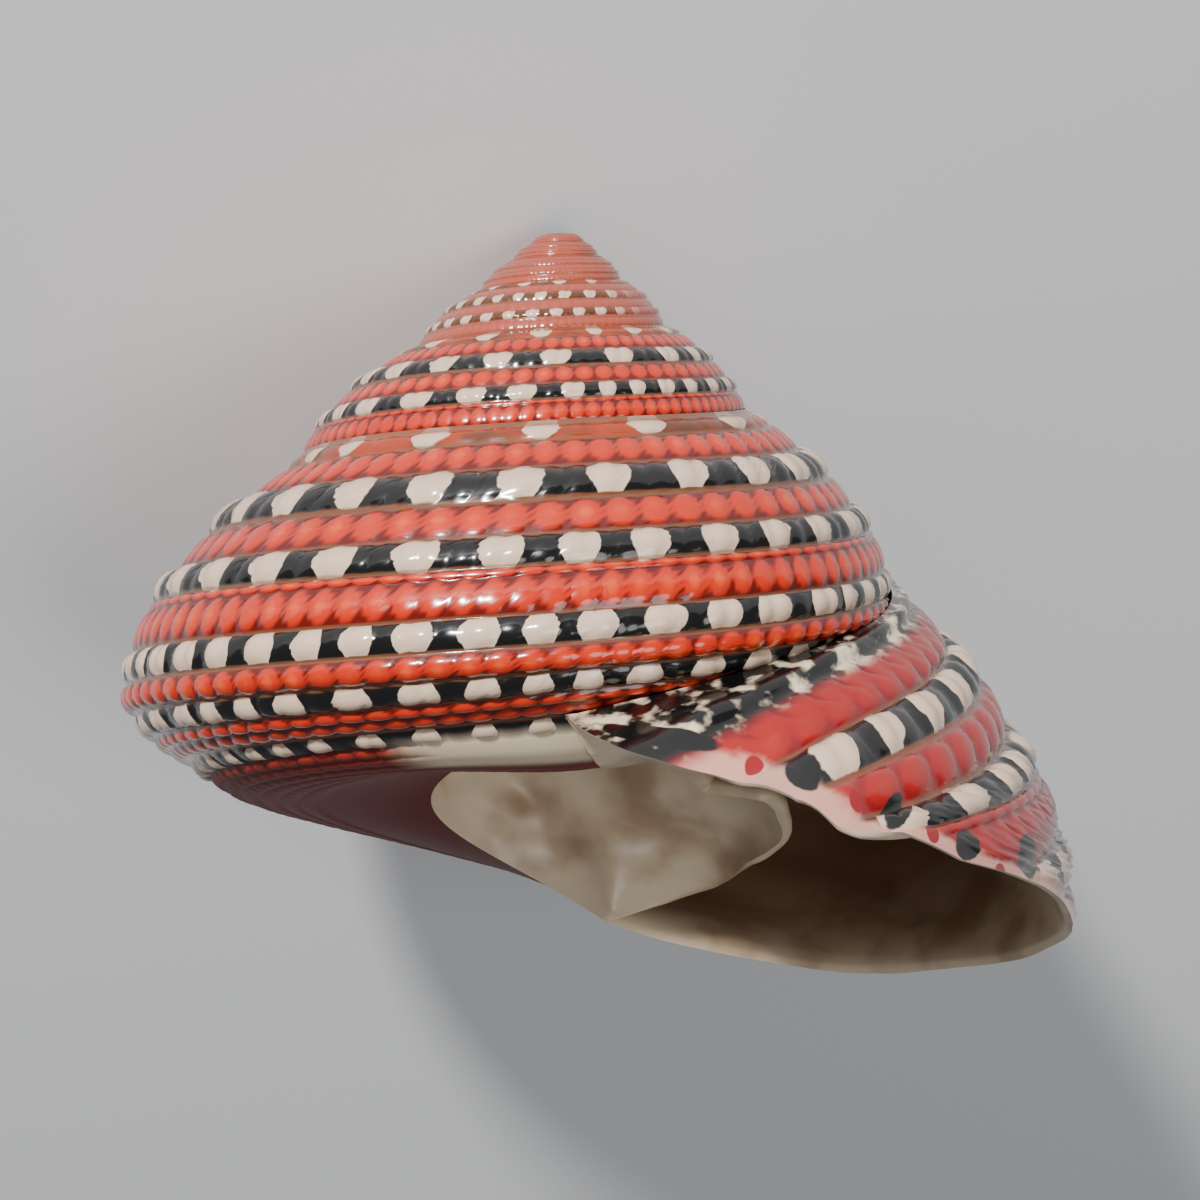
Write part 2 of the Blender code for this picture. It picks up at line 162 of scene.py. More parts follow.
def chart_value(place, column):
    """Smooth value of one chart column at places along the outline."""
    slope = np.diff(column) / np.diff(ALONG)
    knot = np.concatenate([slope[:1], (slope[:-1] + slope[1:]) / 2, slope[-1:]])
    cell = np.clip(np.searchsorted(ALONG, place, side="right") - 1, 0, len(ALONG) - 2)
    span = ALONG[cell + 1] - ALONG[cell]
    t = (place - ALONG[cell]) / span
    first = (2 * t**3 - 3 * t**2 + 1) * column[cell] + (t**3 - 2 * t**2 + t) * span * knot[cell]
    last = (3 * t**2 - 2 * t**3) * column[cell + 1] + (t**3 - t**2) * span * knot[cell + 1]
    return first + last


def bare_wall(theta, place):
    """Radius and height of the outer wall without its step at the suture."""
    out, down = growth(theta)
    radius = chart_value(place, RADIUS) * out
    height = -chart_value(place, DROP) * down
    radius = radius + TIP_WIDTH * np.exp(height / TIP_FADE) * (1 - np.exp(height / TIP_ROUND))
    bend = softened(theta, BEND_START, BEND_SOFT)
    rows = [PLACE[name] for name in BEND_ROWS]
    radius = radius * np.exp(np.interp(place, rows, BEND_OUT) * bend)
    height = height * np.exp(np.interp(place, rows, BEND_DROP) * bend)
    roll = np.interp(place, [PLACE[name] for name in ROLL_ROWS], ROLL_DROP)
    height = height * np.exp(roll * softened(theta, ROLL_START, ROLL_SOFT))
    shoulder = np.interp(place, [PLACE[name] for name in SHOULDER_ROWS], SHOULDER_OUT)
    radius = radius + shoulder * np.exp(-((theta - SHOULDER_ANGLE) / SHOULDER_SPREAD) ** 2)
    pad = np.exp(-((theta - PAD_ANGLE) / PAD_SPREAD) ** 2)
    height = height - PAD_DROP * pad * smooth_step(place, PLACE["cord 9"], PLACE["base 1"])
    return radius, height


def suture_place(theta):
    """Place on the turn above where the next turn is joined to it."""
    usual = PLACE["cord 5"] + USUAL_SHARE * (PLACE["cord 6"] - PLACE["cord 5"])
    lowest = PLACE["cord 9"] + LOWEST_EXTRA
    whole = softened(START + LOWEST_AFTER, BEND_START - TURN, JOIN_SOFT)
    share = softened(theta, BEND_START - TURN, JOIN_SOFT) / whole
    return usual + (lowest - usual) * np.minimum(share, 1.0)


def row_shift(theta, row):
    """How far the cords creep up the whorl near the lip."""
    late = smooth_step(theta, CREEP_FROM, CREEP_TO)
    below = smooth_step(row, PLACE["cord 1"], PLACE["cord 2"])
    above = 1 - smooth_step(row, PLACE["cord 6"], PLACE["cord 9"])
    return -CREEP * late * below * above


def lip_lag(place):
    """Angle by which the edge of the lip lies past the end of the last turn."""
    return np.interp(place, ALONG, LIP_ANGLE) * DEG - START


def start_lag(place):
    """Angle by which the first growth line of the last turn lies past its start."""
    joined = float(suture_place(START + lip_lag(0.0)))
    return np.interp(place, [0.0, joined, ALONG[-1]], [0.0, lip_lag(0.0), INNER_LAG])


def azimuth(t, place):
    """Angle of a growth line at a place, so that the last line follows the lip."""
    share = (t - START) / TURN
    return t + (1 - share) * start_lag(place) + share * lip_lag(place)


def bead(angle, size):
    """Rounded bead profile along a cord, 1 in the middle and 0 in the cleft."""
    part = np.mod(angle / size, 1.0) * 2 - 1
    return np.sqrt(np.maximum(0.0, 1 - CLEFT * part**2))


def beads(theta, row):
    """Height of cords and beads, cord profile and bead profile."""
    angle = theta / DEG
    height = np.zeros_like(theta)
    cord = np.zeros_like(theta)
    lump = np.zeros_like(theta)
    for middle, half, high, size, share in CORDS:
        x = (row - middle) / half
        body = np.sqrt(np.maximum(0.0, 1 - x**2))
        round_top = bead(angle + 0.1 * middle, size)
        lumps = np.sqrt(np.maximum(0.0, 1 - x**2 - CLEFT * (1 - round_top**2)))
        height = np.maximum(height, high * ((1 - share) * body + share * lumps))
        cord = np.maximum(cord, body)
        lump = np.maximum(lump, lumps)
    return height, cord, lump


def relief(theta, row, fade):
    """Height over the crest line, so that tops of cords lie near the outline."""
    spotted, white = spot_fields(theta, row)
    swell = SPOT_LIFT * smooth_step(white, -0.3, 0.6) * smooth_step(spotted, 1.0, 9.0)
    height = (beads(theta, row)[0] + swell) * (1 - fade)
    depth = GROOVE * (1 - smooth_step(row, PLACE["cord 10"], PLACE["base 1"]))
    return height - depth * (1 - 0.6 * fade)


def lip_distance(theta, row):
    """Arc length back from the edge of the lip."""
    radius = bare_wall(theta, row)[0]
    return (azimuth(np.full_like(row, END), row) - theta) * radius


def lip_fade(theta, row):
    """Beads die out toward the edge of the lip."""
    reach = np.interp(row, FADE_ROWS, FADE_REACH)
    angle = theta / DEG
    pad = smooth_step(angle, 55.0, 68.0) * (1 - smooth_step(angle, 106.0, 122.0))
    pad = pad * smooth_step(row, 338.0, 350.0) * (1 - smooth_step(row, 390.0, 410.0))
    return np.maximum(pad, 1 - smooth_step(lip_distance(theta, row), 0.25 * reach, reach))


def outer_wall(theta, row, fade=None):
    """Radius, height and outward direction of the beaded wall at a row of the chart."""
    theta = np.asarray(theta, float)
    row = np.broadcast_to(np.asarray(row, float), theta.shape)
    place = row + row_shift(theta, row)
    radius, height = bare_wall(theta, place)
    before_r, before_h = bare_wall(theta - TURN, suture_place(theta - TURN))
    first_r, first_h = bare_wall(theta, np.zeros_like(place))
    near = np.clip(1 - place / PLACE["cord 0"], 0.0, 1.0)
    radius = radius + (before_r - first_r) * near
    height = height + (before_h - first_h) * near
    right_r, right_h = bare_wall(theta, np.minimum(place + 1.0, ALONG[-1]))
    left_r, left_h = bare_wall(theta, np.maximum(place - 1.0, 0.0))
    length = np.hypot(right_r - left_r, right_h - left_h)
    across_r, across_h = -(right_h - left_h) / length, (right_r - left_r) / length
    if fade is None:
        fade = lip_fade(theta, row)
    scale = np.minimum(growth(theta)[1] / growth(RELIEF_ANGLE)[1], RELIEF_MOST)
    lift = relief(theta, row, fade) * scale * (1 - near)
    return radius + across_r * lift, height + across_h * lift, across_r, across_h


def chart_point(theta, radius, height):
    return np.stack([radius * np.cos(theta), -radius * np.sin(theta), height], axis=-1)


def rest_axes():
    down = np.array(REST_DOWN) / np.linalg.norm(REST_DOWN)
    up = -down
    away = np.array([0.0, 1.0, 0.0]) - up[1] * up
    away = away / np.linalg.norm(away)
    return np.cross(away, up), away, up


def lay_down(points):
    """Chart points to metres in the part's frame, with the small flat spot."""
    side, away, up = rest_axes()
    down = -up
    reach = points @ down
    points = points - np.maximum(reach - REST_LEVEL, 0.0)[..., None] * down
    turned = points @ np.stack([side, away, up], axis=1)
    return (turned - np.array([CENTRE_X, CENTRE_Y, -REST_LEVEL])) * UNIT


def grid_piece(name, spots, fields):
    """One smooth mesh from a grid of chart points, with named fields on its points."""
    rows, cols = spots.shape[:2]
    flat = lay_down(spots.reshape(-1, 3))
    mesh = bpy.data.meshes.new(name)
    index = np.arange(rows * cols).reshape(rows, cols)
    corners = [index[:-1, :-1], index[1:, :-1], index[1:, 1:], index[:-1, 1:]]
    quads = np.stack(corners, axis=-1).reshape(-1, 4)
    mesh.from_pydata(flat.tolist(), [], quads.tolist())
    for key, values in fields.items():
        layer = mesh.attributes.new(key, "FLOAT", "POINT")
        layer.data.foreach_set("value", values.astype(np.float32).ravel())
    mesh.shade_smooth()
    item = bpy.data.objects.new(name, mesh)
    bpy.context.scene.collection.objects.link(item)
    return item


def joined_piece(name, items):
    """Join several meshes into one."""
    bpy.ops.object.select_all(action="DESELECT")
    for item in items:
        item.select_set(True)
    bpy.context.view_layer.objects.active = items[0]
    bpy.ops.object.join()
    items[0].name = name
    items[0].data.name = name
    return items[0]


# Rows of the grids: steps over a cord, the plain stretch past the cords, and the least gaps
CORD_STEPS = (-1.0, -0.82, -0.45, 0.0, 0.45, 0.82, 1.0)
PLAIN_FROM = 450.0
PLAIN_ROWS = 12
ROW_GAP = 0.35
LAST_GAP = 0.5


def fine_rows(last_row):
    """Rows of a fine grid: seven on each cord and some past the last cord."""
    rows = [0.0, JOIN_LAP]
    for middle, half, *_ in CORDS:
        rows += [middle + half * x for x in CORD_STEPS]
    rows += list(np.linspace(PLAIN_FROM, ALONG[-1], PLAIN_ROWS))
    rows = np.array(sorted(rows))
    keep = np.concatenate([[True], np.diff(rows) > ROW_GAP])
    rows = rows[keep]
    return np.append(rows[rows < last_row - LAST_GAP], last_row)


# Spotted rows: first and last place, share of white, usual spacing, centres of the white spots in degrees
SPOTTED = (
    (-9.0, 33.0, 0.30, 25.0, (
        -331.0, -305.0, -287.0, -264.0, -243.0, 36.0, 67.0, 92.0, 118.0, 141.0, 154.0)),
    (67.0, 110.0, 0.42, 15.2, (
        -634.0, -608.0, -584.0, -313.0, -291.5, -270.0, -253.0, -235.0, -217.0, 12.6, 33.0, 47.5,
        63.5, 79.0, 94.5, 110.5, 125.0, 140.0, 154.5, 168.0, 182.0, 385.5, 396.0, 406.0, 414.5)),
    (145.0, 180.0, 0.46, 12.0, (
        -653.0, -630.0, -607.0, -584.0, -313.5, -294.0, -276.0, -262.0, -249.5, -233.5, -216.0,
        10.3, 25.9, 38.7, 50.5, 61.9, 74.1, 84.7, 96.0, 108.8, 121.6, 133.4, 145.7, 158.2, 170.0,
        181.9, 381.0, 387.5, 399.0)),
    (218.5, 243.5, 0.55, 8.2, (
        6.4, 29.1, 42.7, 54.9, 63.4, 72.6, 82.7, 89.8, 97.9, 107.2, 114.9, 122.2, 130.2, 137.9,
        145.0, 152.9, 159.7, 165.4)),
    (272.0, 295.5, 0.50, 8.7, (
        55.6, 64.4, 75.1, 83.3, 90.1, 97.6, 106.6, 116.7, 126.9, 134.8, 142.1, 148.7, 158.7)),
    (330.0, 349.5, 0.40, 9.5, (
        99.0, 108.5, 118.5, 128.5, 136.5, 144.0, 151.5, 160.0, 167.0)),
)
ROUNDING = 0.45
SPOT_LIFT = 3.0


def spot_count(angle, centres, spacing):
    """Number of white spots passed at an angle."""
    steps = np.maximum(1, np.round(np.diff(centres) / spacing))
    count = np.interp(angle, centres, np.concatenate([[0.0], np.cumsum(steps)]))
    before = np.minimum(angle - centres[0], 0.0)
    after = np.maximum(angle - centres[-1], 0.0)
    return count + before / spacing + after / spacing


def spot_fields(theta, row):
    """Reach inside the nearest spotted row, and how white a place is there."""
    angle = theta / DEG
    spotted = np.full_like(theta, -30.0)
    white = np.full_like(theta, -1.0)
    for low, high, share, spacing, centres in SPOTTED:
        half = (high - low) / 2
        inside = half - np.abs(row - (low + high) / 2)
        wave = np.cos(TURN * spot_count(angle, centres, spacing)) - math.cos(math.pi * share)
        wave = wave + ROUNDING * (0.4 - np.minimum(1 - inside / half, 1.0) ** 2)
        white = np.where(inside > spotted, wave, white)
        spotted = np.maximum(spotted, inside)
    return spotted, white


EDGE_MOST = 400.0


def colour_fields(theta, row):
    """Fields that the colours are mixed from."""
    angle = theta / DEG
    cord, lump = beads(theta, row)[1:]
    spotted, white = spot_fields(theta, row)
    edge = np.clip(lip_distance(theta, row), 0.0, EDGE_MOST)
    return {"row": row, "angle": angle, "cord": cord, "lump": lump,
            "spotted": spotted, "white": white, "edge": edge}


LAST_COLUMNS = 621


def last_whorl():
    rows = fine_rows(ALONG[-1])
    t = np.linspace(START, END, LAST_COLUMNS)
    place = np.repeat(rows[:, None], len(t), axis=1)
    theta = azimuth(t[None, :], place)
    radius, height = outer_wall(theta, place)[:2]
    return grid_piece("last_whorl", chart_point(theta, radius, height), colour_fields(theta, place))


def upper_whorl(number, columns):
    """One turn of the spire, down to just under the next turn."""
    t = np.linspace(START - TURN * number, START - TURN * (number - 1), columns)
    if number == 1:
        t = np.linspace(START - TURN, START + lip_lag(0.0), columns)
    limit = suture_place(t) + JOIN_LAP
    rows = fine_rows(float(limit.max()))
    place = np.minimum(rows[:, None], limit[None, :])
    theta = np.repeat(t[None, :], len(rows), axis=0)
    radius, height = outer_wall(theta, place, np.zeros_like(theta))[:2]
    return grid_piece("whorl_%d" % number, chart_point(theta, radius, height), colour_fields(theta, place))


# Inside of the mouth: degrees back from the lip, and thickness of the wall there
CAVITY_BACK = np.array((0.0, 0.15, 0.4, 0.8, 1.5, 3.0, 5.0, 8.0, 12.0, 16.0, 22.0, 28.0, 36.0, 44.0, 54.0,
                        64.0, 76.0, 88.0, 100.0, 112.0, 124.0, 136.0, 148.0, 160.0))
WALL_AT = (0.0, 0.15, 0.4, 0.8, 3.0, 8.0, 16.0, 160.0)
WALL_THICK = (0.0, 3.5, 6.0, 8.0, 13.0, 18.0, 22.0, 24.0)
CALLUS_THICK = 3.0
CALLUS_FADE = 0.7


def lip_inside():
    """Rounded edge of the lip and the inside of the outer wall."""
    rows = fine_rows(ALONG[-1])
    place = np.repeat(rows[:, None], len(CAVITY_BACK), axis=1)
    back = np.repeat(CAVITY_BACK[None, :], len(rows), axis=0)
    theta = azimuth(END - back * DEG, place)
    fade = np.ones_like(theta)
    radius, height, across_r, across_h = outer_wall(theta, place, fade)
    thick = np.interp(back, WALL_AT, WALL_THICK)
    spots = chart_point(theta, radius - across_r * thick, height - across_h * thick)
    return grid_piece("lip_inside", spots, dict(colour_fields(theta, place), deep=back))


def inner_wall():
    """Callus over the turn before, where it forms the inner wall of the mouth."""
    share = np.linspace(0.0, 1.0, 60)
    back = np.concatenate([np.linspace(0.0, 20.0, 21), np.linspace(25.0, 160.0, 28)])
    share, back = np.meshgrid(share, back, indexing="ij")
    t = START - back * DEG
    lag = lip_lag(0.0) * (1 - back / 360.0)
    theta = t + lag * (1 - share) + INNER_LAG * share
    first = suture_place(t + lag) + JOIN_LAP
    place = first + (ALONG[-1] - first) * share
    radius, height, across_r, across_h = outer_wall(theta, place, np.full_like(theta, CALLUS_FADE))
    thick = CALLUS_THICK * (1 + smooth_step(back, 0.0, 8.0))
    spots = chart_point(theta, radius + across_r * thick, height + across_h * thick)
    return grid_piece("inner_wall", spots, dict(colour_fields(theta, place), deep=back))


# The navel's wall flares out into the toothed edge of the pillar: share of the way up, and radius there
FLANGE_SHARE = (0.0, 0.10, 0.20, 0.30, 0.36, 0.41, 0.48, 0.57,
                0.645, 0.69, 0.705, 0.715, 0.80, 0.865, 0.91, 1.0)
FLANGE_RADIUS = (129.0, 190.0, 215.0, 217.0, 221.0, 230.0, 236.0, 240.0,
                 242.0, 236.0, 222.0, 178.0, 172.0, 165.0, 144.0, 96.0)
NEARBY = 0.02
FOLD_HEIGHT = 3.5
FLARE_SHARE = (0.05, 0.35)
FLARE_SPREAD = (2.0, 32.0)
PIT_TOP = 330.0
PIT_STEPS = 120
PIT_FINE = 60 * DEG


def pit_spot(t, share):
    """Wall of the navel between its margin and the margin one turn earlier."""
    part = (t - START) / TURN
    margin = np.full_like(t, ALONG[-1])
    edge = lip_lag(ALONG[-1]) * (1 - share) + INNER_LAG * share
    theta = t + (1 - part) * INNER_LAG + part * edge
    now_r, now_h = bare_wall(theta, margin)
    old_r, old_h = bare_wall(theta - TURN, margin)
    radius = now_r + (old_r - now_r) * share
    flange = np.interp(share, FLANGE_SHARE, FLANGE_RADIUS)
    back = np.maximum(END - t, 0.0) / DEG
    flare = np.exp(-(back / np.interp(share, FLARE_SHARE, FLARE_SPREAD)) ** 2)
    folds = np.sin(5.0 * theta + 14.0 * share) + 0.7 * np.sin(31.0 * share - 3.0 * theta)
    ends = smooth_step(share, 0.0, 0.12) * (1 - smooth_step(share, 0.6, 0.72))
    radius = radius + np.maximum(flange - radius, 0.0) * flare + FOLD_HEIGHT * folds * ends
    return theta, radius, now_h + (old_h - now_h) * share


def toward_top(spots):
    """Eight columns of points from the given ones to the top of the navel."""
    rise = np.linspace(0.0, 1.0, 8)[None, :, None]
    return spots * (1 - rise) + np.array([0.0, 0.0, -PIT_TOP]) * rise


def pit_piece(name, spots):
    """Piece of the navel, all in the colour of the margin."""
    flat = np.zeros(spots.shape[:2])
    return grid_piece(name, spots, dict(colour_fields(flat, flat + ALONG[-1]), deep=flat))


def navel():
    """Wall of the navel, drawn together at its top."""
    coarse = np.linspace(START, END - PIT_FINE, PIT_STEPS)
    fine = np.linspace(END - PIT_FINE + DEG, END, 90)
    share = np.linspace(0.0, 1.0, PIT_STEPS)
    wall = chart_point(*pit_spot(*np.meshgrid(np.append(coarse, fine), share, indexing="ij")))
    top = toward_top(wall[:, -1:, :])[:, 1:]
    return pit_piece("navel", np.concatenate([wall, top], axis=1))


def navel_back():
    """Sheet that closes the navel between its first column and its top."""
    share = np.linspace(0.0, 1.0, 40)
    start = chart_point(*pit_spot(np.full_like(share, START), share))
    return pit_piece("navel_back", toward_top(start[:, None, :]))


def pit_normal(t, share):
    """Direction from the navel's wall into the pillar."""
    along = chart_point(*pit_spot(t + NEARBY, share)) - chart_point(*pit_spot(t - NEARBY, share))
    upward = chart_point(*pit_spot(t, share + NEARBY)) - chart_point(*pit_spot(t, share - NEARBY))
    normal = np.cross(upward, along)
    return normal / np.linalg.norm(normal, axis=-1, keepdims=True)


# Thickness of the toothed edge, by degrees back from it, and of the callus above the pillar
EDGE_AT = (0.0, 0.15, 0.4, 0.8, 1.5, 3.0)
EDGE_THICK = (0.0, 3.0, 5.5, 8.0, 10.0, 11.0)
ABOVE_THICK = 5.0


def pillar():
    """Side of the pillar that faces the mouth, with the back of the tooth."""
    back, share = np.meshgrid(CAVITY_BACK, np.linspace(0.0, 1.0, PIT_STEPS), indexing="ij")
    t = END - back * DEG
    margin = np.full_like(t, ALONG[-1])
    near_base = np.full_like(t, PLACE["base 2"])
    whole = np.ones_like(t)
    low_r, low_h, low_ar, low_ah = outer_wall(azimuth(t, margin), near_base, whole)
    high_r, high_h, high_ar, high_ah = outer_wall(START - back * DEG + INNER_LAG, near_base, whole)
    thick = np.interp(back, WALL_AT, WALL_THICK)
    far_r = (low_r - low_ar * thick) * (1 - share) + (high_r + high_ar * ABOVE_THICK) * share
    far_h = (low_h - low_ah * thick) * (1 - share) + (high_h + high_ah * ABOVE_THICK) * share
    theta, near_r, near_h = pit_spot(t, share)
    near = chart_point(theta, near_r, near_h)
    normal = pit_normal(t, share)
    edge = np.interp(back, EDGE_AT, EDGE_THICK) * smooth_step(share, 0.12, 0.32)
    reach = ((chart_point(theta, far_r, far_h) - near) * normal).sum(axis=-1)
    spots = near + normal * np.maximum(edge, reach * smooth_step(back, 2.0, 16.0))[..., None]
    return grid_piece("pillar", spots, dict(colour_fields(theta, margin), deep=back))


# Whorls above the last one, with the number of columns of each
SPIRE_WHORLS = ((1, 560),)
TIP_WHORLS = ((2, 480), (3, 320), (4, 200), (5, 120))

body = last_whorl()
spire = joined_piece("spire", [upper_whorl(number, columns) for number, columns in SPIRE_WHORLS])
tip = joined_piece("tip", [upper_whorl(number, columns) for number, columns in TIP_WHORLS])
mouth = joined_piece("mouth", [lip_inside(), inner_wall(), navel(), navel_back(), pillar()])


def linear_part(level):
    """Linear strength of one everyday 0 to 255 level."""
    if level <= 10:
        return level / 255 / 12.92
    return ((level / 255 + 0.055) / 1.055) ** 2.4


def linear(*levels):
    """Linear colour of an everyday red, green and blue."""
    return tuple(linear_part(level) for level in levels)


CORAL = linear(190, 40, 10)
# Darker and lighter coral: painted shade for the clefts between beads, painted light for bead tops
CORAL_CLEFT_SHADE = linear(92, 14, 6)
CORAL_TOP_LIGHT = linear(216, 78, 30)
CRIMSON = linear(140, 8, 18)
SPIRE_PINK = linear(160, 76, 58)
CREAM = linear(206, 178, 154)
BLACK = linear(14, 13, 14)
BROWN = linear(92, 48, 24)
RUST = linear(158, 52, 20)
# Brownish groove colour: painted shade, with some dirt
GROOVE_SHADE_AND_DIRT = linear(112, 74, 48)
LIP_PINK = linear(214, 158, 140)
BASE_RED = linear(104, 30, 22)
CALLUS = linear(226, 206, 176)
# Brown deep in the mouth: painted shade
MOUTH_SHADE = linear(168, 126, 98)
CLOUD = linear(178, 150, 120)


class Mixer:
    """Short names for the shader nodes of one material."""

    def __init__(self, name):
        self.material = bpy.data.materials.new(name)
        self.material.use_nodes = True
        self.tree = self.material.node_tree
        self.surface = self.tree.nodes["Principled BSDF"]

    def link(self, value, socket):
        if isinstance(value, bpy.types.NodeSocket):
            self.tree.links.new(value, socket)
        elif isinstance(value, tuple):
            socket.default_value = (*value, 1.0)
        else:
            socket.default_value = value

    def field(self, name):
        node = self.tree.nodes.new("ShaderNodeAttribute")
        node.attribute_name = name
        return node.outputs["Fac"]

    def noise(self, scale):
        place = self.tree.nodes.new("ShaderNodeTexCoord")
        node = self.tree.nodes.new("ShaderNodeTexNoise")
        self.link(place.outputs["Object"], node.inputs["Vector"])
        node.inputs["Scale"].default_value = scale
        node.inputs["Detail"].default_value = 3.0
        return node.outputs["Fac"]

    def math(self, kind, one, two=0.0, three=0.0):
        node = self.tree.nodes.new("ShaderNodeMath")
        node.operation = kind
        for value, socket in zip((one, two, three), node.inputs):
            self.link(value, socket)
        return node.outputs[0]

    def step(self, value, low, high):
        """Smooth share that a value has covered between two levels."""
        node = self.tree.nodes.new("ShaderNodeMapRange")
        node.interpolation_type = "SMOOTHSTEP"
        self.link(value, node.inputs["Value"])
        node.inputs["From Min"].default_value = low
        node.inputs["From Max"].default_value = high
        return node.outputs["Result"]

    def mix(self, share, one, two):
        node = self.tree.nodes.new("ShaderNodeMix")
        node.data_type = "RGBA"
        self.link(share, node.inputs[0])
        self.link(one, node.inputs[6])
        self.link(two, node.inputs[7])
        return node.outputs[2]


def between(m, value, low, high, soft):
    """One between two levels, with soft ends."""
    rise = m.step(value, low - soft, low + soft)
    fall = m.step(value, high + soft, high - soft)
    return m.math("MULTIPLY", rise, fall)


# Single spots near the edge of the lip: angle, row, half width in degrees, half height, lean
DARK_SPOTS = (
    (434.5, 25.0, 2.2, 17.0, -0.40),
    (420.0, 93.0, 2.0, 17.0, 0.0),
    (411.4, 155.0, 2.0, 18.0, 0.10),
    (403.5, 195.0, 2.0, 9.0, 0.0),
    (391.5, 212.0, 2.5, 12.0, 0.0),
)
RED_SPOTS = (
    (424.5, 60.0, 1.2, 8.0, 0.0),
    (415.4, 132.0, 0.9, 10.0, 0.0),
    (408.4, 184.0, 0.9, 6.0, 0.0),
    (398.3, 215.0, 1.0, 5.0, 0.0),
)


def single_spots(m, row, angle, wobble, spots):
    """One inside any of the listed spots, with slightly ragged edges."""
    found = 0.0
    for at, middle, wide, high, lean in spots:
        up = m.math("SUBTRACT", row, middle)
        across = m.math("SUBTRACT", m.math("SUBTRACT", angle, at), m.math("MULTIPLY", up, lean))
        up = m.math("POWER", m.math("ABSOLUTE", m.math("DIVIDE", up, high)), 2.0)
        across = m.math("POWER", m.math("ABSOLUTE", m.math("DIVIDE", across, wide)), 2.0)
        reach = m.math("MULTIPLY_ADD", wobble, 0.9, m.math("ADD", up, across))
        found = m.math("MAXIMUM", found, m.step(reach, 1.15, 0.85))
    return found


def red_rows(m, row, angle, coarse):
    """Coral cords, crimson near the lip, pink on the spire and dark red on the base, with painted shade in
    the clefts between beads and painted light on some bead tops.
    """
    lump = m.field("lump")
    # Painted shade: darker coral in the clefts between beads, where the bead profile falls away
    red = m.mix(m.step(lump, 0.15, 0.75), CORAL_CLEFT_SHADE, CORAL)
    # Painted light: lighter coral on the tops of beads, in noise patches
    red = m.mix(m.math("MULTIPLY", m.step(lump, 0.8, 1.0), m.step(coarse, 0.35, 0.65)), red, CORAL_TOP_LIGHT)
    red = m.mix(m.math("MULTIPLY", m.step(angle, 330.0, 365.0), 0.75), red, CRIMSON)
    red = m.mix(m.math("MULTIPLY", m.step(angle, -330.0, -420.0), 0.85), red, SPIRE_PINK)
    return m.mix(m.math("MULTIPLY", m.step(row, 342.0, 362.0), 0.92), red, BASE_RED)


def skin_material():
    """Glossy beads: coral rows, black and cream spotted rows."""
    m = Mixer("skin")
    row, angle, lump = m.field("row"), m.field("angle"), m.field("lump")
    wobble = m.math("SUBTRACT", m.noise(2500.0), 0.5)
    coarse = m.noise(700.0)
    red = red_rows(m, row, angle, coarse)
    rust = m.mix(m.step(coarse, 0.4, 0.6), RUST, BROWN)
    high_row = m.step(row, 36.0, 30.0)
    red = m.mix(high_row, red, rust)
    scallop = m.math("MULTIPLY_ADD", lump, 0.35, -0.17)
    edge = m.math("ADD", m.math("MULTIPLY_ADD", wobble, 0.5, m.field("white")), scallop)
    dark = m.mix(m.step(angle, -340.0, -420.0), BLACK, BROWN)
    spots = m.mix(m.step(edge, -0.06, 0.06), m.mix(high_row, dark, rust), CREAM)
    inside = m.math("MULTIPLY_ADD", wobble, 5.0, m.math("MULTIPLY_ADD", lump, 2.5, m.field("spotted")))
    late_spots = m.math("MULTIPLY", m.step(inside, 0.6, 1.8), m.step(angle, -690.0, -650.0))
    colour = m.mix(late_spots, red, spots)
    # Painted shade with some dirt: brownish colour in the grooves between cords, off the base
    groove_shade_and_dirt = m.math("MULTIPLY", m.step(m.field("cord"), 0.45, 0.1), 0.7)
    groove_shade_and_dirt = m.math("MULTIPLY", groove_shade_and_dirt, m.step(row, 352.0, 338.0))
    colour = m.mix(groove_shade_and_dirt, colour, GROOVE_SHADE_AND_DIRT)
    crust = m.math("MULTIPLY", between(m, row, -20.0, 38.0, 5.0), m.step(angle, 346.0, 356.0))
    colour = m.mix(crust, colour, m.mix(m.step(m.noise(1500.0), 0.5, 0.66), BLACK, CALLUS))
    pad = m.math("MULTIPLY", between(m, angle, 62.0, 113.0, 6.0), between(m, row, 342.0, 386.0, 8.0))
    colour = m.mix(pad, colour, CALLUS)
    margin = m.math("MULTIPLY_ADD", wobble, 30.0, m.field("edge"))
    margin = m.math("MULTIPLY", m.step(margin, 42.0, 22.0), m.step(row, 36.0, 46.0))
    colour = m.mix(m.math("MULTIPLY", margin, 0.8), colour, LIP_PINK)
    colour = m.mix(single_spots(m, row, angle, wobble, DARK_SPOTS), colour, BLACK)
    colour = m.mix(single_spots(m, row, angle, wobble, RED_SPOTS), colour, CRIMSON)
    m.link(colour, m.surface.inputs["Base Color"])
    base = m.step(row, 330.0, 352.0)
    m.link(m.math("MULTIPLY_ADD", base, 0.4, 0.2), m.surface.inputs["Roughness"])
    m.link(m.math("MULTIPLY_ADD", base, -0.5, 0.5), m.surface.inputs["Coat Weight"])
    m.surface.inputs["Coat Roughness"].default_value = 0.08
    return m.material


def mouth_material():
    """Smooth cream callus, and painted shade: brown deeper inside the mouth."""
    m = Mixer("mouth")
    colour = m.mix(m.step(m.noise(500.0), 0.4, 0.7), CALLUS, CLOUD)
    # Painted shade: brown grows with the degrees back from the lip, deeper inside the mouth
    colour = m.mix(m.math("MULTIPLY", m.step(m.field("deep"), 2.0, 60.0), 0.9), colour, MOUTH_SHADE)
    m.link(colour, m.surface.inputs["Base Color"])
    m.surface.inputs["Roughness"].default_value = 0.34
    return m.material


